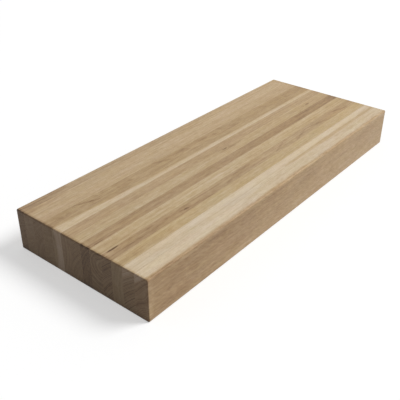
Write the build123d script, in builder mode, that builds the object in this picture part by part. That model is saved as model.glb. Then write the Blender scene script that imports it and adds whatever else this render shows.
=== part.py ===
"""Edge-grain butcher block table top: full-length hardwood staves, glued face to face.

Frame: +X along the length, +Y from the front edge to the back edge, +Z up.
The origin is the centre of the flat underside.
"""

import os

from build123d import *

# Overall sizes of the finished block, in millimetres
block_length = 990.6
block_thickness = 101.6

# Width of each stave across the block, from the front edge to the back edge.
# The boards are ripped one at a time, so neighbours differ by a few millimetres.
stave_widths = [33.0, 31.2, 28.8, 27.4, 32.0, 27.0, 29.8, 27.6, 27.2, 30.6, 31.0, 28.6, 25.0]

# Film of cured glue that fills the joint between two staves
glue_film = 0.15

# Round-over of every outer edge and corner, run after the glue-up
edge_radius = 3.2

# The overall width follows from the boards and the films between them
joint_count = len(stave_widths) - 1
block_width = sum(stave_widths) + joint_count * glue_film

# The finished envelope: the trued block with its eased edges and corners
with BuildPart() as envelope:
    with BuildSketch():
        Rectangle(block_length, block_width)
    extrude(amount=block_thickness)
    fillet(envelope.edges(), radius=edge_radius)


def layer(front, width):
    """One upright layer of the block, from its front face back, trimmed to the envelope."""
    with BuildPart() as board:
        with BuildSketch(Plane.XZ.offset(-front)):
            Rectangle(block_length, block_thickness, align=(Align.CENTER, Align.MIN))
        extrude(amount=-width)
        add(envelope.part, mode=Mode.INTERSECT)
    return board.part


def save(piece, name):
    """Label a finished piece and write it to a file of that name."""
    piece.label = name
    export_step(piece, f"parts/{name}.step")


os.makedirs("parts", exist_ok=True)

# Staves and glue films alternate from the front edge to the back edge
joint_face = -block_width / 2
for number, stave_width in enumerate(stave_widths, start=1):
    stave = layer(joint_face, stave_width)
    save(stave, f"stave_{number:02d}")
    joint_face += stave_width
    if number <= joint_count:
        glue_line = layer(joint_face, glue_film)
        save(glue_line, f"glue_line_{number:02d}")
        joint_face += glue_film

print(f"block {block_length:.1f} x {block_width:.1f} x {block_thickness:.1f} mm")
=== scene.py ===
"""The looks of a butcher block table top: oiled hardwood staves, their glue lines and a pale studio floor.

Every piece is in metres, in the frame of the CAD model: +X along the grain, +Y to the back, +Z up.
"""

import math
from dataclasses import dataclass

import bpy
from mathutils import Matrix, Vector


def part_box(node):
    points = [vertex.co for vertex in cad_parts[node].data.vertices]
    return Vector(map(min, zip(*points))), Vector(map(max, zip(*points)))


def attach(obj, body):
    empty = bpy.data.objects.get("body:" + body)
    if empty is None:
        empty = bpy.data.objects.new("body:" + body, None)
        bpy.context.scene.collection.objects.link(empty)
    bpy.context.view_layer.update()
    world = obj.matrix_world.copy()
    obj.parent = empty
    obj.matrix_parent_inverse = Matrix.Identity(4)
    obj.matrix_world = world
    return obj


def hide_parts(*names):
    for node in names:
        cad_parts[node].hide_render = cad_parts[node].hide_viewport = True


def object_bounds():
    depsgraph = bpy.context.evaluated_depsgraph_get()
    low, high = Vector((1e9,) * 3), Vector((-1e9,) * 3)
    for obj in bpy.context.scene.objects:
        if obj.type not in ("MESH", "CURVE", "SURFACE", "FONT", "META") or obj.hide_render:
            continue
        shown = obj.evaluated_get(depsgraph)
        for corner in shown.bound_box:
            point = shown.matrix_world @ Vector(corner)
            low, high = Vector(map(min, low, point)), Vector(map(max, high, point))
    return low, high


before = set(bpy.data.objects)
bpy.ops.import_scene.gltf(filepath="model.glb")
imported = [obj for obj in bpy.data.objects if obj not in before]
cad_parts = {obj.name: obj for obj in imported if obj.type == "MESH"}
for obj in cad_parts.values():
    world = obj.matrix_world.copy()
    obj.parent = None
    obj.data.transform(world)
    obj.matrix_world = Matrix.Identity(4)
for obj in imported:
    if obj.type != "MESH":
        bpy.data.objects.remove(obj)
cad_low, cad_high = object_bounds()

# Sizes of the block, in metres. Its edges are eased as on the CAD model
MM = 0.001
LENGTH, WIDTH, THICKNESS = cad_high - cad_low
EDGE_RADIUS = 3.2 * MM

# The same block in millimetres, the unit of the timber: its ends, its sides and its working face
HALF_LENGTH = LENGTH / 2 / MM
HALF_WIDTH = WIDTH / 2 / MM
TOP = THICKNESS / MM

# Rows of faces: round half of an eased edge, and between the edges along, across and up a stave
EDGE_ROWS = 4
FLAT_ROWS = (36, 6, 12)
# A narrow row beside each eased edge keeps the flat faces flat in the shading
GUARD = 0.4 * MM
# Edges that turn by more than this are sharp: the arrises along the glue joints
SHARP_ANGLE = math.radians(30)
# The layer of a stave's mesh that says how far each point faces along the grain
END_GRAIN_LAYER = "end_grain"
# The least length that another is divided by
HAIR = 1e-9


class Graph:
    """A node tree under construction. A value may be a number, a vector or a socket of another node."""

    def __init__(self, tree):
        self.tree = tree

    def sockets(self, kind, *names, way="INPUT"):
        """Adds inputs or outputs of one kind to the tree, and gives their identifiers by name."""
        made = {}
        for name in names:
            made[name] = self.tree.interface.new_socket(name, in_out=way, socket_type=kind).identifier
        return made

    def feed(self, socket, value):
        """Links an input to another node's output, or sets its value."""
        if isinstance(value, bpy.types.NodeSocket):
            self.tree.links.new(value, socket)
        else:
            socket.default_value = value

    def node(self, kind, inputs=None, **settings):
        """Adds a node with these settings, and feeds its inputs by name or number."""
        made = self.tree.nodes.new(kind)
        for name, value in settings.items():
            setattr(made, name, value)
        for name, value in (inputs or {}).items():
            self.feed(made.inputs[name], value)
        return made

    def math(self, operation, *values):
        """Arithmetic on numbers."""
        return self.node("ShaderNodeMath", dict(enumerate(values)), operation=operation).outputs[0]

    def vector(self, operation, *values):
        """Arithmetic on vectors."""
        made = self.node("ShaderNodeVectorMath", dict(enumerate(values)), operation=operation)
        return made.outputs["Value" if operation in ("LENGTH", "DOT_PRODUCT") else "Vector"]

    def scaled(self, vector, scale):
        """A vector times a number."""
        return self.node("ShaderNodeVectorMath", {0: vector, "Scale": scale}, operation="SCALE").outputs[0]

    def split(self, vector):
        """The three parts of a vector."""
        return self.node("ShaderNodeSeparateXYZ", {0: vector}).outputs

    def join(self, x, y, z):
        """A vector of three parts."""
        return self.node("ShaderNodeCombineXYZ", {0: x, 1: y, 2: z}).outputs[0]

    def ramp(self, value, low, high, start=0.0, end=1.0, shape="LINEAR"):
        """Value from low to high becomes start to end, held at both ends."""
        inputs = dict(enumerate((value, low, high, start, end)))
        return self.node("ShaderNodeMapRange", inputs, interpolation_type=shape).outputs[0]

    def smooth(self, value, low, high, start=0.0, end=1.0):
        """A ramp that sets off and arrives gently."""
        return self.ramp(value, low, high, start, end, "SMOOTHSTEP")


# The form of a stave


def row_count(flat_rows):
    """All rows over one size of a stave: the even ones, and an eased edge and a guard on both sides."""
    return flat_rows + 2 * (EDGE_ROWS + 1)


def spread_rows(g, share, flat_rows, low, size):
    """Places of rows over one size of a stave: close together at both edges and even between them."""
    rows = row_count(flat_rows)
    row = g.math("MULTIPLY", share, rows)
    flat = g.math("SUBTRACT", size, 2 * (EDGE_RADIUS + GUARD))
    edge = EDGE_ROWS
    bands = (
        (0, edge, EDGE_RADIUS),
        (edge, edge + 1, GUARD),
        (edge + 1, rows - edge - 1, flat),
        (rows - edge - 1, rows - edge, GUARD),
        (rows - edge, rows, EDGE_RADIUS),
    )
    place = low
    for start, end, band in bands:
        place = g.math("ADD", place, g.ramp(row, start, end, 0.0, band))
    return place


def stave_form():
    """A board of the block: a box of rows, eased wherever it meets the block's own edges and corners."""
    g = Graph(bpy.data.node_groups.new("stave_form", "GeometryNodeTree"))
    g.sockets("NodeSocketGeometry", "Geometry", way="OUTPUT")
    sockets = g.sockets("NodeSocketFloat", "Front", "Width", "Length", "Thickness", "Block width")
    sockets |= g.sockets("NodeSocketMaterial", "Timber")
    given = g.node("NodeGroupInput").outputs
    counts = [row_count(flat_rows) + 1 for flat_rows in FLAT_ROWS]
    box = g.node(
        "GeometryNodeMeshCube",
        {"Size": (1, 1, 1), "Vertices X": counts[0], "Vertices Y": counts[1], "Vertices Z": counts[2]},
    )

    # Rows of the sharp-edged board
    share = g.split(g.vector("ADD", g.node("GeometryNodeInputPosition").outputs[0], (0.5, 0.5, 0.5)))
    half_length = g.math("MULTIPLY", given["Length"], 0.5)
    half_width = g.math("MULTIPLY", given["Block width"], 0.5)
    near_end = g.math("MULTIPLY", half_length, -1.0)
    front_face = g.math("MULTIPLY", half_width, -1.0)
    along = spread_rows(g, share[0], FLAT_ROWS[0], near_end, given["Length"])
    across = spread_rows(g, share[1], FLAT_ROWS[1], given["Front"], given["Width"])
    up = spread_rows(g, share[2], FLAT_ROWS[2], 0.0, given["Thickness"])
    sharp = g.join(along, across, up)

    # The outer shell of the block, one edge radius thick, is turned round its inner box
    inset = (EDGE_RADIUS, EDGE_RADIUS, EDGE_RADIUS)
    low = g.vector("ADD", g.join(near_end, front_face, 0.0), inset)
    high = g.vector("SUBTRACT", g.join(half_length, half_width, given["Thickness"]), inset)
    inner = g.vector("MINIMUM", g.vector("MAXIMUM", sharp, low), high)
    out = g.vector("SUBTRACT", sharp, inner)
    reach = g.split(g.vector("ABSOLUTE", out))
    square = g.math("MAXIMUM", g.math("MAXIMUM", reach[0], reach[1]), reach[2])
    round_reach = g.math("MAXIMUM", g.vector("LENGTH", out), HAIR)
    eased = g.vector("ADD", inner, g.scaled(out, g.math("DIVIDE", square, round_reach)))

    # How far each point faces along the grain, for the end grain's finish
    facing = g.math("POWER", g.math("DIVIDE", reach[0], round_reach), 2.0)
    marked = g.node(
        "GeometryNodeStoreNamedAttribute",
        {"Geometry": box.outputs["Mesh"], "Name": END_GRAIN_LAYER, "Value": facing},
        data_type="FLOAT",
        domain="POINT",
    )
    placed = g.node("GeometryNodeSetPosition", {"Geometry": marked.outputs[0], "Position": eased})
    smooth = g.node("GeometryNodeSetShadeSmooth", {"Geometry": placed.outputs[0], "Shade Smooth": True})
    angle = g.node("GeometryNodeInputMeshEdgeAngle").outputs["Unsigned Angle"]
    arris = g.math("GREATER_THAN", angle, SHARP_ANGLE)
    creased = g.node(
        "GeometryNodeSetShadeSmooth",
        {"Geometry": smooth.outputs[0], "Selection": arris, "Shade Smooth": False},
        domain="EDGE",
    )
    whole = g.node("GeometryNodeRealizeInstances", {"Geometry": creased.outputs[0]})
    finish = {"Geometry": whole.outputs[0], "Material": given["Timber"]}
    finished = g.node("GeometryNodeSetMaterial", finish)
    g.node("NodeGroupOutput", {"Geometry": finished.outputs[0]})
    return g.tree, sockets


def make_stave(name, form, node, timber):
    """Runs the form once for a CAD stave and keeps the result as a plain mesh."""
    tree, sockets = form
    low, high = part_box(node)
    piece = bpy.data.objects.new(name, bpy.data.meshes.new(name))
    bpy.context.scene.collection.objects.link(piece)
    maker = piece.modifiers.new("form", "NODES")
    maker.node_group = tree
    values = {
        "Front": low.y,
        "Width": high.y - low.y,
        "Length": LENGTH,
        "Thickness": THICKNESS,
        "Block width": WIDTH,
        "Timber": timber,
    }
    for key, value in values.items():
        maker[sockets[key]] = value
    depsgraph = bpy.context.evaluated_depsgraph_get()
    made = piece.evaluated_get(depsgraph)
    mesh = bpy.data.meshes.new_from_object(made, preserve_all_data_layers=True, depsgraph=depsgraph)
    piece.modifiers.remove(maker)
    piece.data = mesh
    mesh.name = name
    return piece


# The timber. Lengths inside its node trees are in millimetres

# The colours of the wood, from the darkest mark to the palest sapwood
TONES = (
    (0.00, (0.024, 0.012, 0.005)),
    (0.15, (0.140, 0.078, 0.034)),
    (0.40, (0.347, 0.225, 0.115)),
    (0.65, (0.486, 0.350, 0.197)),
    (1.00, (0.670, 0.550, 0.394)),
)

# How far apart the boards read their noise, and where most of a noise's values lie
SEED_STEP = (1310.0, 170.0, 290.0)
NOISE_SPAN = (0.3, 0.7)

# How large the wood's features are along, across and up a board
WANDER_SIZE = (190.0, 130.0, 130.0)
RIPPLE_SIZE = (60.0, 7.0, 7.0)
FIBRE_SIZE = (55.0, 0.5, 0.5)
STREAK_SIZE = (330.0, 4.5, 4.5)
WISP_SIZE = (85.0, 3.2, 3.2)
PATCH_SIZE = (75.0, 15.0, 15.0)
FLECK_SIZE = (17.0, 5.0, 5.0)
CAST_SIZE = (110.0, 40.0, 40.0)
PORE_SIZE = (7.0, 0.55, 0.55)

# How far ripples push a ring
RIPPLE_PUSH = 0.8
# How much of the pith's wandering a mark follows, and how wide its tips are against its middle
MARK_BEND = 0.3
MARK_TIP = 0.33
# Rings that drift do so over this distance from the near end
DRIFT_REACH = 260.0

# The rings' spacing changes over this distance, by up to this many rings
SPACING_RUN = 11.0
SPACING_SWING = 1.0
# Shares of a ring at which its porous line is full, begins to fade, and is gone
LINE_FULL = 0.12
LINE_FADE = (0.2, 0.6)
# How strong the line is in the leanest year
LEAN_YEAR = 0.35
# Runs of good and lean years: their length in rings, their weight, and how far apart the boards read them
YEAR_RUN = 2.3
YEAR_SWING = 0.8
YEAR_SEED_STEP = 7.3

# How much wisps and fibres change the tone, and how strong such changes are in sapwood
WISP_TONE = 0.14
FIBRE_TONE = 0.10
SAP_CONTRAST = 0.85

# What one step of hue adds to red, green and blue, and one step of pinkness
YELLOWER = (-0.008, 0.004, -0.09)
PINKER = (0.012, -0.022, 0.004)
# How many steps the patches of a board differ in hue and in pinkness
PATCH_HUE = 1.0
PATCH_PINKNESS = 0.6
# Painted light: how much warmer the light makes the boards look at the far end and cooler at the near end,
# and the hue and pinkness of one step of warmth
PAINTED_WARMTH_ALONG = (-0.6, 1.0)
WARM_HUE = 0.9
WARM_PINKNESS = 1.1

# A pore opens where its chance is above this: in dense wood, and in a porous line at least this strong
PORE_CHANCE = (0.72, 0.25)
STRONG_LINE = 0.7
# Where a pore's wall begins and ends, in shares of its size, and how much of the colour is left inside
PORE_WALL = (0.14, 0.3)
PORE_SHADE = 0.62

# A point that faces this far along the grain is all end grain
END_GRAIN_FACING = 0.25
# The tone that end grain tends to, how far it does so, and how much of the hue it keeps
END_GRAIN_TONE = 0.60
END_GRAIN_LIKENESS = 0.2
END_GRAIN_HUE = 0.3
# What end grain loses of its red, green and blue
END_GRAIN_LOSS = (0.560, 0.582, 0.565)
# What sapwood gains in tone there, and what more of the colours it loses
END_SAP_TONE = 0.09
END_SAP_LOSS = (-0.018, 0.006, 0.026)

# The oiled finish: how rough it is, and what fibres, pores and end grain add
ROUGHNESS = 0.46
FIBRE_ROUGHNESS = 0.07
PORE_ROUGHNESS = 0.2
END_GRAIN_ROUGHNESS = 0.08
# Oil that has soaked in shines less than a film of varnish
OIL_SHEEN = 0.22
# The relief: how high fibres stand and how deep rings and hollow marks lie, where an open pore is 1 deep
FIBRE_RELIEF = 0.3
RING_RELIEF = 0.25
HOLLOW_RELIEF = 2.0
WOOD_RELIEF = {"Strength": 0.6, "Distance": 0.12 * MM}

# Cured glue: its colours and roughness, the size of its patches and of its sanding marks, and their relief
GLUE_COLOURS = ((0.0, (0.20, 0.125, 0.065)), (1.0, (0.36, 0.245, 0.14)))
GLUE_ROUGHNESS = (0.42, 0.58)
GLUE_PATCH_SIZE = (30.0, 5.0, 8.0)
GLUE_GRIT_SIZE = (4.0, 0.8, 0.8)
GLUE_RELIEF = {"Strength": 0.5, "Distance": 0.08 * MM}


def new_material(name):
    """An empty material, and the graph of its nodes."""
    made = bpy.data.materials.new(name)
    made.use_nodes = True
    made.node_tree.nodes.clear()
    return made, Graph(made.node_tree)


def block_place(g):
    """Places in the block's frame, in millimetres."""
    return g.scaled(g.node("ShaderNodeTexCoord").outputs["Object"], 1.0 / MM)


def noise(g, place, size, detail=2.0, roughness=0.5, output=0):
    """Noise with patches of about this size along, across and up."""
    inputs = {
        "Vector": g.vector("MULTIPLY", place, [1.0 / side for side in size]),
        "Scale": 1.0,
        "Detail": detail,
        "Roughness": roughness,
    }
    return g.node("ShaderNodeTexNoise", inputs).outputs[output]


def noise_along(g, value):
    """Noise along a line."""
    inputs = {"W": value, "Scale": 1.0, "Detail": 1.0}
    return g.node("ShaderNodeTexNoise", inputs, noise_dimensions="1D").outputs[0]


def swing(g, value, amount):
    """A 0 to 1 value, turned into plus or minus an amount."""
    return g.math("MULTIPLY", g.math("SUBTRACT", value, 0.5), g.math("MULTIPLY", amount, 2.0))


def colour_range(g, value, colours):
    """The colour that belongs to a value, from a range of places and colours."""
    made = g.node("ShaderNodeValToRGB", {"Fac": value})
    stops = made.color_ramp.elements
    while len(stops) < len(colours):
        stops.new(1.0)
    for stop, (place, colour) in zip(stops, colours):
        stop.position = place
        stop.color = (*colour, 1.0)
    return made.outputs["Color"]


def grain_and_painted_light_mark():
    """A lens-shaped mark on the wood, such as a knot, a bark pocket, a dark stroke of grain, painted shade
    or a painted highlight.
    """
    g = Graph(bpy.data.node_groups.new("grain_and_painted_light_mark", "ShaderNodeTree"))
    g.sockets("NodeSocketFloat", "Mask", way="OUTPUT")
    g.sockets("NodeSocketVector", "Place", "Start", "End")
    g.sockets("NodeSocketFloat", "Half width", "Softness")
    given = g.node("NodeGroupInput").outputs
    run = g.vector("SUBTRACT", given["End"], given["Start"])
    here = g.vector("SUBTRACT", given["Place"], given["Start"])
    share = g.math("DIVIDE", g.vector("DOT_PRODUCT", here, run), g.vector("DOT_PRODUCT", run, run))
    held = g.ramp(share, 0.0, 1.0)
    away = g.vector("LENGTH", g.vector("SUBTRACT", here, g.scaled(run, held)))
    # The lens is widest in the middle
    middle = g.math("MULTIPLY", g.math("MULTIPLY", held, g.math("SUBTRACT", 1.0, held)), 4.0)
    wide = g.math("MULTIPLY", given["Half width"], g.ramp(middle, 0.0, 1.0, MARK_TIP, 1.0))
    inside = g.math("SUBTRACT", 1.0, given["Softness"])
    outside = g.math("ADD", 1.0, given["Softness"])
    mask = g.smooth(g.math("DIVIDE", away, wide), inside, outside, 1.0, 0.0)
    g.node("NodeGroupOutput", {"Mask": mask})
    return g.tree


def timber_grain():
    """Solid wood: growth rings round a pith, sapwood outside them, long fibres, streaks and pores."""
    g = Graph(bpy.data.node_groups.new("timber_grain", "ShaderNodeTree"))
    g.sockets("NodeSocketFloat", "Tone", "Pores", "Fibres", "Rings", way="OUTPUT")
    g.sockets("NodeSocketFloat", "Hue", "Sapwood", "Pinkness", way="OUTPUT")
    g.sockets("NodeSocketVector", "Bent place", way="OUTPUT")
    g.sockets("NodeSocketFloat", "Seed", "Pith across", "Pith up", "Ring spacing", "Ring depth", "Figure")
    g.sockets("NodeSocketFloat", "Heart tone", "Trend", "Streaks", "Mottle", "Flecks", "Slope")
    g.sockets("NodeSocketFloat", "Heart hue", "Blush", "Painted warmth", "Cast seed", "Cast")
    g.sockets("NodeSocketFloat", "Sap radius", "Sap tone", "Sap softness", "Near drift", "Swirl push")
    g.sockets("NodeSocketVector", "Swirl place", "Swirl size")
    given = g.node("NodeGroupInput").outputs

    # Each board reads its own part of the noise
    place = block_place(g)
    x = g.split(place)[0]
    shifted = g.vector("ADD", place, g.scaled(SEED_STEP, given["Seed"]))

    # The pith wanders along the tree, which bends the rings into figure
    near = g.smooth(x, -HALF_LENGTH, -HALF_LENGTH + DRIFT_REACH, 1.0, 0.0)
    pith = g.join(x, given["Pith across"], given["Pith up"])
    from_pith = g.vector("SUBTRACT", place, pith)
    drift = g.math("MULTIPLY", near, given["Near drift"])
    straight = g.vector("ADD", from_pith, g.join(0.0, drift, 0.0))
    wander = g.split(noise(g, shifted, WANDER_SIZE, detail=1.0, output=1))
    bend = g.join(0.0, swing(g, wander[0], given["Figure"]), swing(g, wander[1], given["Figure"]))
    ripple = swing(g, noise(g, shifted, RIPPLE_SIZE), RIPPLE_PUSH)

    # Round a knot the rings swell outward
    from_knot = g.vector("SUBTRACT", place, given["Swirl place"])
    knot_share = g.vector("LENGTH", g.vector("DIVIDE", from_knot, given["Swirl size"]))
    swell = g.math("MULTIPLY", g.smooth(knot_share, 0.0, 1.0, 1.0, 0.0), given["Swirl push"])
    bent_radius = g.vector("LENGTH", g.vector("ADD", straight, bend))
    radius = g.math("ADD", bent_radius, g.math("ADD", ripple, swell))

    # Rings of uneven width: a sharp porous line, fading into dense late wood, in good and lean years
    ring = g.math("DIVIDE", radius, given["Ring spacing"])
    uneven = noise_along(g, g.math("ADD", g.math("DIVIDE", radius, SPACING_RUN), given["Seed"]))
    count = g.math("ADD", ring, swing(g, uneven, SPACING_SWING))
    part = g.math("FRACT", count)
    line = g.math("MULTIPLY", g.smooth(part, 0.0, LINE_FULL), g.smooth(part, *LINE_FADE, 1.0, 0.0))
    year = g.node("ShaderNodeTexWhiteNoise", {"W": g.math("FLOOR", count)}, noise_dimensions="1D")
    rings = g.math("MULTIPLY", line, g.ramp(year.outputs[0], 0.0, 1.0, LEAN_YEAR, 1.0))
    year_seed = g.math("MULTIPLY", given["Seed"], YEAR_SEED_STEP)
    years = noise_along(g, g.math("ADD", g.math("DIVIDE", ring, YEAR_RUN), year_seed))
    rings = g.math("SUBTRACT", rings, swing(g, years, YEAR_SWING))

    # Fibres, streaks and mottling run with the grain
    fibres = noise(g, shifted, FIBRE_SIZE, roughness=0.6)
    streaks = noise(g, shifted, STREAK_SIZE, roughness=0.55)
    wisps = noise(g, shifted, WISP_SIZE, roughness=0.6)
    patches = g.split(noise(g, shifted, PATCH_SIZE, detail=2.5, roughness=0.6, output=1))
    change = g.math("ADD", swing(g, streaks, given["Streaks"]), swing(g, patches[0], given["Mottle"]))
    change = g.math("ADD", change, swing(g, wisps, WISP_TONE))
    # Short flecks follow the fibres where the board was cut at a slope to them
    sloped = g.vector("ADD", shifted, g.join(0.0, 0.0, g.math("MULTIPLY", x, given["Slope"])))
    flecks = noise(g, sloped, FLECK_SIZE, roughness=0.6)
    change = g.math("ADD", change, swing(g, flecks, given["Flecks"]))
    change = g.math("ADD", change, swing(g, fibres, FIBRE_TONE))
    change = g.math("SUBTRACT", change, g.math("MULTIPLY", rings, given["Ring depth"]))

    # Sapwood lies outside the heartwood, which grows lighter or darker along the board
    trend = g.math("MULTIPLY", g.math("DIVIDE", x, HALF_LENGTH), given["Trend"])
    sap_edge = g.math("SUBTRACT", g.math("ADD", g.vector("LENGTH", straight), ripple), given["Sap radius"])
    sap = g.smooth(g.math("DIVIDE", sap_edge, given["Sap softness"]), -1.0, 1.0)
    base = g.ramp(sap, 0.0, 1.0, g.math("ADD", given["Heart tone"], trend), given["Sap tone"])
    tone = g.math("ADD", base, g.math("MULTIPLY", change, g.ramp(sap, 0.0, 1.0, 1.0, SAP_CONTRAST)))

    # Painted light: the boards are painted cooler at the near end and warmer towards the far end, standing
    # in for how the light's colour and its reflections change along the block. The casts along the way,
    # now warmer, now cooler, are the wood's own
    hue = g.math("ADD", g.ramp(sap, 0.0, 1.0, given["Heart hue"], 0.0), swing(g, patches[1], PATCH_HUE))
    painted_and_cast_warmth = g.math("MULTIPLY", g.ramp(x, -HALF_LENGTH, HALF_LENGTH, *PAINTED_WARMTH_ALONG), given["Painted warmth"])
    cast_place = g.vector("ADD", place, g.scaled(SEED_STEP, given["Cast seed"]))
    painted_and_cast_warmth = g.math("ADD", painted_and_cast_warmth, swing(g, noise(g, cast_place, CAST_SIZE), given["Cast"]))
    hue = g.math("ADD", hue, g.math("MULTIPLY", painted_and_cast_warmth, WARM_HUE))
    blush = g.ramp(sap, 0.0, 1.0, given["Blush"], 0.0)
    pinkness = g.math("ADD", blush, swing(g, patches[2], PATCH_PINKNESS))
    pinkness = g.math("ADD", pinkness, g.math("MULTIPLY", painted_and_cast_warmth, WARM_PINKNESS))

    # Short open pores, most of them in the first wood of each ring
    pore_place = g.vector("MULTIPLY", shifted, [1.0 / side for side in PORE_SIZE])
    cells = g.node("ShaderNodeTexVoronoi", {"Vector": pore_place, "Scale": 1.0})
    chance = g.split(cells.outputs["Color"])[0]
    wanted = g.ramp(rings, 0.0, STRONG_LINE, *PORE_CHANCE)
    hole = g.smooth(cells.outputs["Distance"], *PORE_WALL, 1.0, 0.0)
    pores = g.math("MULTIPLY", hole, g.math("GREATER_THAN", chance, wanted))

    surface = {
        "Tone": tone,
        "Pores": pores,
        "Fibres": fibres,
        "Rings": rings,
        "Hue": hue,
        "Sapwood": sap,
        "Pinkness": pinkness,
        "Bent place": g.vector("ADD", place, g.scaled(bend, MARK_BEND)),
    }
    g.node("NodeGroupOutput", surface)
    return g.tree


def marked_wood(g, mark, marks, place):
    """How much a board's marks darken it, and how deep the hollow ones among them are."""
    stain_and_painted_light = hollow = 0.0
    for spot in marks:
        shape = {
            "Place": place,
            "Start": spot.start,
            "End": spot.end,
            "Half width": spot.half_width,
            "Softness": spot.softness,
        }
        made = g.node("ShaderNodeGroup", shape, node_tree=mark)
        darker = g.math("MULTIPLY", made.outputs["Mask"], spot.depth)
        stain_and_painted_light = g.math("ADD", stain_and_painted_light, darker)
        if spot.hollow:
            hollow = g.math("ADD", hollow, darker)
    return stain_and_painted_light, hollow


def timber(name, grain, mark, look, end_look, marks):
    """An oiled board's material: its own grain, its marks, and darker end grain."""
    made, g = new_material(name)
    wood = g.node("ShaderNodeGroup", look, node_tree=grain).outputs
    stain_and_painted_light, hollow = marked_wood(g, mark, marks, wood["Bent place"])

    # End grain is duller: the boards look more alike there, and the rings stand out more
    facing = g.node("ShaderNodeAttribute", attribute_name=END_GRAIN_LAYER).outputs["Fac"]
    end_grain = g.smooth(facing, 0.0, END_GRAIN_FACING)
    side_tone = g.math("SUBTRACT", wood["Tone"], stain_and_painted_light)
    end_tone, end_rings = end_look
    duller = g.math("MULTIPLY", g.math("SUBTRACT", END_GRAIN_TONE, side_tone), END_GRAIN_LIKENESS)
    duller = g.math("ADD", duller, end_tone)
    duller = g.math("SUBTRACT", duller, g.math("MULTIPLY", wood["Rings"], end_rings))
    duller = g.math("ADD", duller, g.math("MULTIPLY", wood["Sapwood"], END_SAP_TONE))
    tone = g.math("ADD", side_tone, g.math("MULTIPLY", end_grain, duller))

    # The tone's colour, tinted by hue and pinkness and darker in the pores
    tone_colour = colour_range(g, tone, TONES)
    hue_share = g.ramp(end_grain, 0.0, 1.0, 1.0, END_GRAIN_HUE)
    hue = g.math("MULTIPLY", wood["Hue"], hue_share)
    pinkness = g.math("MULTIPLY", wood["Pinkness"], hue_share)
    tint = g.vector("ADD", (1.0, 1.0, 1.0), g.scaled(YELLOWER, hue))
    tint = g.vector("ADD", tint, g.scaled(PINKER, pinkness))
    tint = g.vector("SUBTRACT", tint, g.scaled(END_GRAIN_LOSS, end_grain))
    end_sap = g.math("MULTIPLY", end_grain, wood["Sapwood"])
    tint = g.vector("SUBTRACT", tint, g.scaled(END_SAP_LOSS, end_sap))
    shade = g.ramp(wood["Pores"], 0.0, 1.0, 1.0, PORE_SHADE)
    colour = g.scaled(g.vector("MULTIPLY", tone_colour, tint), shade)

    roughness = g.math("ADD", ROUGHNESS, swing(g, wood["Fibres"], FIBRE_ROUGHNESS))
    roughness = g.math("ADD", roughness, g.math("MULTIPLY", wood["Pores"], PORE_ROUGHNESS))
    roughness = g.math("ADD", roughness, g.math("MULTIPLY", end_grain, END_GRAIN_ROUGHNESS))
    relief = g.math("SUBTRACT", g.math("MULTIPLY", wood["Fibres"], FIBRE_RELIEF), wood["Pores"])
    relief = g.math("SUBTRACT", relief, g.math("MULTIPLY", wood["Rings"], RING_RELIEF))
    relief = g.math("SUBTRACT", relief, g.math("MULTIPLY", hollow, HOLLOW_RELIEF))
    bump = g.node("ShaderNodeBump", {"Height": relief, **WOOD_RELIEF})
    finish = {
        "Base Color": colour,
        "Roughness": roughness,
        "Normal": bump.outputs[0],
        "Specular IOR Level": OIL_SHEEN,
    }
    shader = g.node("ShaderNodeBsdfPrincipled", finish)
    g.node("ShaderNodeOutputMaterial", {"Surface": shader.outputs[0]})
    return made


def glue_film():
    """Cured glue in the joints: a thin brown line, a little uneven in colour, with fine sanding marks."""
    made, g = new_material("cured_glue")
    place = block_place(g)
    patches = noise(g, place, GLUE_PATCH_SIZE, detail=3.0, roughness=0.6)
    bump = g.node("ShaderNodeBump", {"Height": noise(g, place, GLUE_GRIT_SIZE), **GLUE_RELIEF})
    finish = {
        "Base Color": colour_range(g, patches, GLUE_COLOURS),
        "Roughness": g.ramp(patches, *NOISE_SPAN, *GLUE_ROUGHNESS),
        "Normal": bump.outputs[0],
    }
    shader = g.node("ShaderNodeBsdfPrincipled", finish)
    g.node("ShaderNodeOutputMaterial", {"Surface": shader.outputs[0]})
    return made


# Each board's own wood, from the front edge to the back edge, in millimetres in the block's frame


@dataclass
class Mark:
    """A lens-shaped mark from one place to another."""

    start: tuple
    end: tuple
    half_width: float
    # What the mark takes from the tone. Below nothing, it is a lighter place
    depth: float
    softness: float = 0.90
    # A hollow mark lies a little below the surface. The others only change the colour: stains, and painted
    # shade and highlights
    hollow: bool = False


def on_top(start, end, *shape, **more):
    """A mark on the working face, from and to a place along and across it."""
    return Mark((*start, TOP), (*end, TOP), *shape, **more)


def on_front(start, end, *shape, **more):
    """A mark on the front face, from and to a place along and up it."""
    return Mark((start[0], -HALF_WIDTH, start[1]), (end[0], -HALF_WIDTH, end[1]), *shape, **more)


def on_near_end(start, end, *shape, **more):
    """A mark on the near end, from and to a place across and up it."""
    return Mark((-HALF_LENGTH, *start), (-HALF_LENGTH, *end), *shape, **more)


# Sapwood that begins too far back to be in its board, and a swirl that pushes nothing
NO_SAPWOOD = (1.0, 1000.0, 1.0)
NO_SWIRL = ((0, 0, 0), (1, 1, 1), 0.0)


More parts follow.
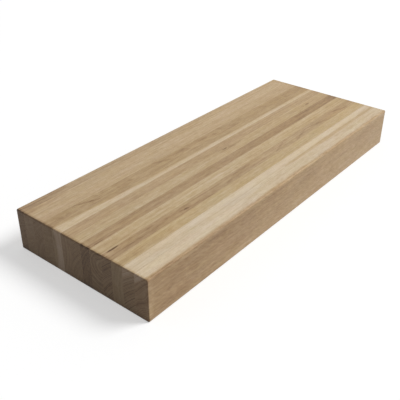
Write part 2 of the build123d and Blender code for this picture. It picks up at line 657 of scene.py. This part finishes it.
@dataclass(kw_only=True)
class Board:
    """The wood of one board."""

    # The heartwood's tone, what it gains towards the far end, and what it gains on end grain
    tone: float
    trend: float = 0.0
    end_tone: float = 0.0
    # The pith's place from the middle of the board, towards the front and up
    pith: tuple
    # The rings' spacing, their depth, and how much deeper they are on end grain
    rings: tuple
    # How far the pith wanders, and how far the rings drift across the board at the near end
    figure: float
    drift: float = 0.0
    # How much streaks, mottling and flecks change the tone, and the slope of the flecks
    streaks: float = 0.12
    mottle: float = 0.09
    flecks: float = 0.16
    slope: float = 0.0
    # Steps of hue and of pinkness in the heartwood, and how much of the painted warmth of the light along
    # the block it takes
    hue: float = 0.0
    blush: float = 0.0
    painted_warmth: float = 1.0
    # The seed and the strength of the warm and cool casts
    cast: tuple
    # Sapwood: its tone, how far behind the board's front face it begins, and how softly
    sap: tuple = NO_SAPWOOD
    # Where grain swells round a knot: its place and reach, and how far it is pushed
    swirl: tuple = NO_SWIRL
    marks: tuple = ()


BARK_POCKET = on_top((-481, -71.1), (-451, -71.3), 2.2, 0.37, softness=0.55, hollow=True)
PIN_KNOT = on_top((-270, -88.4), (-257, -89.1), 3.0, 0.17, softness=0.80, hollow=True)
SMALL_KNOT = on_top((4, 18.4), (20, 17.8), 2.8, 0.36, softness=0.70, hollow=True)
DARK_SPECK = on_top((381, 4.8), (400, 6.6), 3.0, 0.27, softness=0.70, hollow=True)

BOARDS = {
    1: Board(
        tone=0.59,
        trend=0.09,
        end_tone=0.05,
        pith=(190, -190),
        rings=(4.4, 0.06, 0.20),
        figure=12.0,
        streaks=0.06,
        mottle=0.14,
        flecks=0.20,
        slope=0.2,
        hue=0.25,
        blush=1.0,
        painted_warmth=0.3,
        cast=(89, 1.2),
        sap=(0.88, 6.2, 3.0),
        swirl=((-464, -190, 46), (60, 32, 44), 16.0),
        marks=(
            on_front((-368, 52), (-348, 50), 8.0, 0.10),
            on_front((-500, 22), (-380, 12), 9.0, 0.05),
            on_front((-330, 94), (-150, 80), 6.0, 0.06),
            on_front((-105, 82), (-25, 70), 12.0, 0.05),
            on_front((235, 62), (330, 54), 5.0, 0.07),
            on_front((-480, 80), (500, 80), 13.0, 0.05),
            on_front((-300, 12), (450, 12), 20.0, -0.06),
            on_front((330, 58), (540, 58), 34.0, 0.04),
            # Painted highlight: paler bands on the front beside the near end, where the light catches the
            # eased edge
            on_front((-486, 0), (-486, 102), 7.0, -0.07),
            on_front((-492, 44), (-492, 8), 7.0, -0.10),
            on_front((-500, 99), (-400, 98), 5.0, 0.10),
            on_front((-310, 18), (-260, 17), 9.0, 0.06),
            on_top((-540, -168.0), (-160, -166.0), 12.0, -0.06),
            on_top((255, -162.0), (345, -165.0), 8.0, 0.10),
        ),
    ),
    2: Board(
        tone=0.60,
        end_tone=-0.02,
        pith=(180, -200),
        rings=(3.4, 0.10, 0.22),
        figure=3.0,
        cast=(160, 1.9),
        sap=(0.88, -8.0, 1.5),
        marks=(
            on_top((30, -149.4), (520, -150.2), 5.0, 0.18, softness=0.80),
            on_top((60, -131.0), (520, -130.0), 9.0, -0.06),
            on_top((-540, -135.0), (540, -134.0), 8.0, -0.08),
            on_top((-150, -134.0), (-75, -132.0), 9.0, -0.08),
            on_top((410, -147.0), (480, -147.0), 8.0, 0.07),
        ),
    ),
    3: Board(
        tone=0.69,
        trend=0.05,
        end_tone=0.03,
        pith=(160, -10),
        rings=(2.2, 0.08, 0.10),
        figure=2.0,
        hue=0.6,
        cast=(109, 2.2),
        marks=(
            on_top((440, -104.0), (500, -104.0), 10.0, 0.07),
            on_top((-495, -118.0), (-430, -120.0), 10.0, 0.06),
            on_top((-290, -112.0), (-110, -112.0), 10.0, -0.05),
        ),
    ),
    4: Board(
        tone=0.55,
        trend=0.07,
        pith=(180, -170),
        rings=(4.4, 0.08, 0.24),
        figure=7.0,
        mottle=0.12,
        cast=(203, 1.8),
        swirl=((-263, -88, 101), (50, 14, 30), 7.0),
        marks=(
            BARK_POCKET,
            on_top((-494, -77.0), (-470, -78.5), 3.0, -0.08),
            PIN_KNOT,
            on_top((-445, -73.5), (-350, -76.0), 2.5, 0.09),
            on_top((-340, -79.0), (-262, -87.0), 2.8, 0.10),
            on_top((-258, -90.0), (-175, -96.0), 3.0, 0.12),
            on_top((-490, -88.0), (-320, -84.0), 4.5, 0.10),
            on_top((-120, -91.0), (-15, -77.0), 8.0, 0.10),
            on_top((30, -74.0), (80, -88.0), 12.0, -0.05),
            on_top((78, -92.0), (136, -75.0), 2.6, 0.13, softness=0.80),
            on_top((145, -84.0), (180, -84.0), 9.0, -0.08),
            on_top((168, -97.0), (245, -77.0), 2.4, 0.11, softness=0.80),
            on_top((245, -77.0), (345, -95.0), 3.0, 0.15, softness=0.80),
            on_top((384, -77.0), (450, -93.0), 3.2, 0.15, softness=0.80),
            on_top((290, -84.0), (540, -84.0), 14.0, 0.05),
        ),
    ),
    5: Board(
        tone=0.72,
        trend=0.02,
        end_tone=-0.14,
        pith=(18, 24),
        rings=(3.0, 0.09, 0.27),
        figure=4.0,
        hue=0.3,
        cast=(119, 1.3),
        marks=(
            on_top((8, -53.0), (72, -53.0), 16.0, 0.04, softness=0.80),
            on_top((-300, -53.0), (-90, -53.0), 14.0, -0.04),
            on_top((110, -54.0), (160, -54.0), 10.0, -0.07),
            on_top((400, -50.0), (500, -48.0), 14.0, 0.07),
            on_top((-495, -44.0), (-410, -66.0), 6.0, 0.06),
        ),
    ),
    6: Board(
        tone=0.455,
        trend=-0.05,
        end_tone=-0.15,
        pith=(120, -50),
        rings=(2.6, 0.08, 0.12),
        figure=3.0,
        cast=(72, 1.2),
        marks=(on_top((-495, -34.0), (-455, -34.0), 9.0, 0.07),),
    ),
    7: Board(
        tone=0.66,
        trend=0.01,
        end_tone=-0.11,
        pith=(110, -80),
        rings=(2.8, 0.08, 0.12),
        figure=5.0,
        hue=0.2,
        cast=(191, 1.6),
        swirl=((13, 18, 101), (45, 16, 30), 8.0),
        marks=(
            SMALL_KNOT,
            on_top((-12, 12.0), (48, 11.0), 9.0, 0.10),
            DARK_SPECK,
            on_top((-300, 5.0), (-90, 5.0), 13.0, -0.05),
            on_top((300, 5.0), (540, 5.0), 13.0, 0.04),
            on_top((25, 14.0), (78, 16.0), 7.0, 0.10),
            on_top((180, 15.0), (220, 15.0), 6.0, 0.07),
            on_top((-330, -4.0), (-275, -4.0), 9.0, -0.07),
        ),
    ),
    8: Board(
        tone=0.58,
        trend=0.02,
        pith=(-140, 20),
        rings=(2.4, 0.08, 0.10),
        figure=3.0,
        hue=-0.2,
        cast=(59, 1.2),
        marks=(
            on_top((-10, 20.5), (34, 20.5), 3.0, 0.08),
            on_top((-75, 34.0), (-50, 31.0), 6.0, 0.05),
        ),
    ),
    9: Board(
        tone=0.54,
        end_tone=0.12,
        pith=(-180, 0),
        rings=(2.6, 0.08, 0.08),
        figure=2.0,
        drift=-11.0,
        hue=0.3,
        cast=(9, 1.6),
        sap=(0.85, 12.8, 3.5),
        marks=(
            on_top((290, 60.0), (540, 60.0), 14.0, 0.05),
            on_near_end((57, 108), (57, 68), 13.0, 0.10),
            on_near_end((70, 84), (72, 64), 7.0, 0.10),
        ),
    ),
    10: Board(
        tone=0.54,
        trend=0.02,
        pith=(40, -120),
        rings=(3.8, 0.10, 0.0),
        figure=7.0,
        mottle=0.11,
        hue=0.3,
        cast=(220, 1.0),
        swirl=((-380, 96, 101), (80, 20, 40), 9.0),
        marks=(
            on_top((-414, 106.0), (-352, 83.0), 2.6, 0.15, softness=0.80),
            on_top((-468, 100.0), (-455, 86.0), 7.0, 0.07),
            on_top((-442, 99.0), (-432, 86.0), 5.0, 0.06),
            on_top((-296, 88.0), (-288, 87.0), 4.0, 0.09),
            on_top((-257, 92.0), (-248, 88.0), 4.0, 0.09),
            on_top((-165, 106.0), (-112, 84.0), 3.4, 0.12),
            on_top((-72, 100.0), (-42, 86.0), 8.0, 0.07),
            on_top((-6, 104.0), (34, 92.0), 5.0, 0.09),
            on_top((56, 91.0), (68, 88.0), 3.6, 0.14, softness=0.80),
            on_top((92, 103.0), (106, 99.0), 3.6, 0.09),
            on_top((276, 104.0), (302, 88.0), 7.0, 0.07),
            on_top((396, 86.0), (404, 83.0), 3.4, 0.10),
            on_top((300, 90.0), (540, 90.0), 15.0, 0.045),
            on_near_end((80, 104), (78, 84), 9.0, 0.12),
        ),
    ),
    11: Board(
        tone=0.67,
        trend=0.02,
        end_tone=-0.13,
        pith=(100, -60),
        rings=(2.6, 0.08, 0.07),
        figure=3.0,
        hue=-0.2,
        cast=(225, 1.1),
    ),
    12: Board(
        tone=0.69,
        trend=0.05,
        end_tone=-0.06,
        pith=(60, -110),
        rings=(2.6, 0.08, 0.08),
        figure=4.0,
        hue=-0.2,
        cast=(129, 1.0),
        marks=(
            on_top((-510, 166.0), (-380, 166.0), 15.0, 0.05),
            on_top((-500, 158.0), (-470, 158.0), 12.0, 0.08),
        ),
    ),
    13: Board(
        tone=0.61,
        trend=0.09,
        end_tone=-0.11,
        pith=(60, -100),
        rings=(2.8, 0.08, 0.08),
        figure=4.0,
        hue=-0.2,
        cast=(224, 2.0),
        marks=(on_top((-530, 184.0), (-370, 184.0), 17.0, 0.11),),
    ),
}

# Painted shade on every board: a dark band along the near end's eased upper edge, where it turns from the
# light, and a painted contact shadow at the foot of the near end. The boards are also darker along the far
# end's upper edge
PAINTED_SHADE_AND_DARK_END_EDGES = (
    # Painted shade along the near end's eased upper edge
    on_top((-493, -600), (-493, 600), 3.6, 0.16, softness=0.70),
    on_top((493, -600), (493, 600), 12.0, 0.06),
    # Painted contact shadow at the foot of the near end
    on_near_end((-600, 2), (600, 2), 7.5, 0.18),
)


def board_look(number, front, back):
    """A board's values for the timber, with its pith placed in the block's frame."""
    board = BOARDS[number]
    toward_front, up = board.pith
    pith_across = (front + back) / 2 - toward_front
    pith_up = TOP / 2 + up
    spacing, depth, _ = board.rings
    sap_tone, sap_start, sap_softness = board.sap
    swirl_place, swirl_reach, swirl_push = board.swirl
    cast_seed, cast = board.cast
    return {
        "Seed": number,
        "Pith across": pith_across,
        "Pith up": pith_up,
        "Ring spacing": spacing,
        "Ring depth": depth,
        "Figure": board.figure,
        "Heart tone": board.tone,
        "Trend": board.trend,
        "Streaks": board.streaks,
        "Mottle": board.mottle,
        "Flecks": board.flecks,
        "Slope": board.slope,
        "Heart hue": board.hue,
        "Blush": board.blush,
        "Painted warmth": board.painted_warmth,
        "Cast seed": cast_seed,
        "Cast": cast,
        "Sap radius": math.hypot(front + sap_start - pith_across, TOP - pith_up),
        "Sap tone": sap_tone,
        "Sap softness": sap_softness,
        "Near drift": board.drift,
        "Swirl place": swirl_place,
        "Swirl size": swirl_reach,
        "Swirl push": swirl_push,
    }


# The pieces

staves = sorted(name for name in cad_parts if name.startswith("stave_"))
form = stave_form()
grain = timber_grain()
mark = grain_and_painted_light_mark()
for number, node in enumerate(staves, start=1):
    low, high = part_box(node)
    board = BOARDS[number]
    look = board_look(number, low.y / MM, high.y / MM)
    end_look = (board.end_tone, board.rings[2])
    wood = timber(f"{node}_wood", grain, mark, look, end_look, board.marks + PAINTED_SHADE_AND_DARK_END_EDGES)
    piece = make_stave(f"{node}_timber", form, node, wood)
    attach(piece, "root")
    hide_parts(node)

glue = glue_film()
for name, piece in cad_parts.items():
    if name.startswith("glue_line_"):
        piece.data.materials.clear()
        piece.data.materials.append(glue)
        # Listed after the staves, so that the staves come first for a share of the baked surface maps
        for home in list(piece.users_collection):
            home.objects.unlink(piece)
        bpy.context.scene.collection.objects.link(piece)


# The studio: a pale floor, a soft light from the far right, and the photograph's viewpoint

WHITE = (1.0, 1.0, 1.0, 1.0)
# How bright the surround is where it lights a surface
AMBIENT = 0.37
# The floor's sides, in metres
FLOOR_SIZE = 30.0
FLOOR_COLOUR = (0.60, 0.60, 0.60, 1.0)
# The floor's own glow beside the block. Between these distances, in metres, it rises to the white behind
FLOOR_GLOW = 0.46
FLOOR_FADE = (1.8, 6.0)
# The floor lies a hair below the block, so that the two faces don't share a plane
FLOOR_GAP = 0.2 * MM
# The light's place, what it points at and its size, in metres, and its power
KEY_LIGHT = dict(place=(19.25, -16.25, 28.0), aim=(0.0, 0.0, 0.05), size=17.5, watts=11060.0)
# The camera's place in metres, its angles in degrees and its lens in millimetres
CAMERA = dict(
    place=(-1.12885, -0.8224, 0.82456),
    azimuth=-51.152,
    elevation=31.727,
    roll=0.368,
    lens=56.73,
)


def seen_by_eye(g):
    """1 for a ray from the camera or by way of a reflection, and 0 for light that falls on a surface."""
    path = g.node("ShaderNodeLightPath").outputs
    mirrored = g.math("MAXIMUM", path["Is Glossy Ray"], path["Is Transmission Ray"])
    return g.math("MAXIMUM", path["Is Camera Ray"], mirrored)


def studio_floor():
    """A matt sheet under the block, which keeps its shadow and grows white further off."""
    half = FLOOR_SIZE / 2
    corners = [(x, y, -FLOOR_GAP) for x, y in ((-half, -half), (half, -half), (half, half), (-half, half))]
    mesh = bpy.data.meshes.new("floor")
    mesh.from_pydata(corners, [], [(0, 1, 2, 3)])
    floor = bpy.data.objects.new("floor", mesh)
    bpy.context.scene.collection.objects.link(floor)
    paper, g = new_material("floor_paper")
    matt = g.node("ShaderNodeBsdfDiffuse", {"Color": FLOOR_COLOUR})
    away = g.vector("LENGTH", g.node("ShaderNodeTexCoord").outputs["Object"])
    strength = g.smooth(away, *FLOOR_FADE, FLOOR_GLOW, 1.0)
    glow = g.node("ShaderNodeEmission", {"Strength": g.math("MULTIPLY", seen_by_eye(g), strength)})
    both = g.node("ShaderNodeAddShader", {0: matt.outputs[0], 1: glow.outputs[0]})
    g.node("ShaderNodeOutputMaterial", {"Surface": both.outputs[0]})
    mesh.materials.append(paper)


def studio_air():
    """An even white surround, which lights the block softly and looks white to the camera."""
    world = bpy.data.worlds.new("studio")
    world.use_nodes = True
    world.node_tree.nodes.clear()
    g = Graph(world.node_tree)
    strength = g.ramp(seen_by_eye(g), 0.0, 1.0, AMBIENT, 1.0)
    air = g.node("ShaderNodeBackground", {"Color": WHITE, "Strength": strength})
    g.node("ShaderNodeOutputWorld", {"Surface": air.outputs[0]})
    bpy.context.scene.world = world


def softbox(name, place, aim, size, watts):
    """A large round light that points from a place at its aim."""
    lamp = bpy.data.lights.new(name, "AREA")
    lamp.shape = "DISK"
    lamp.size = size
    lamp.energy = watts
    light = bpy.data.objects.new(name, lamp)
    light.location = place
    light.rotation_euler = (Vector(place) - Vector(aim)).to_track_quat("Z", "Y").to_euler()
    bpy.context.scene.collection.objects.link(light)


def viewpoint(place, azimuth, elevation, roll, lens):
    """A camera at a place, looking down by the elevation and round by the azimuth."""
    turn, tilt, lean = (math.radians(angle) for angle in (azimuth, elevation, roll))
    back = Vector((math.sin(turn) * math.cos(tilt), -math.cos(turn) * math.cos(tilt), math.sin(tilt)))
    level = Vector((math.cos(turn), math.sin(turn), 0.0))
    upright = back.cross(level)
    right = level * math.cos(lean) + upright * math.sin(lean)
    up = upright * math.cos(lean) - level * math.sin(lean)
    view = bpy.data.cameras.new("viewpoint")
    view.lens = lens
    camera = bpy.data.objects.new("viewpoint", view)
    camera.matrix_world = Matrix.Translation(place) @ Matrix((right, up, back)).transposed().to_4x4()
    bpy.context.scene.collection.objects.link(camera)
    bpy.context.scene.camera = camera


studio_floor()
studio_air()
softbox("key_light", **KEY_LIGHT)
viewpoint(**CAMERA)
bpy.context.scene.view_settings.view_transform = "Standard"
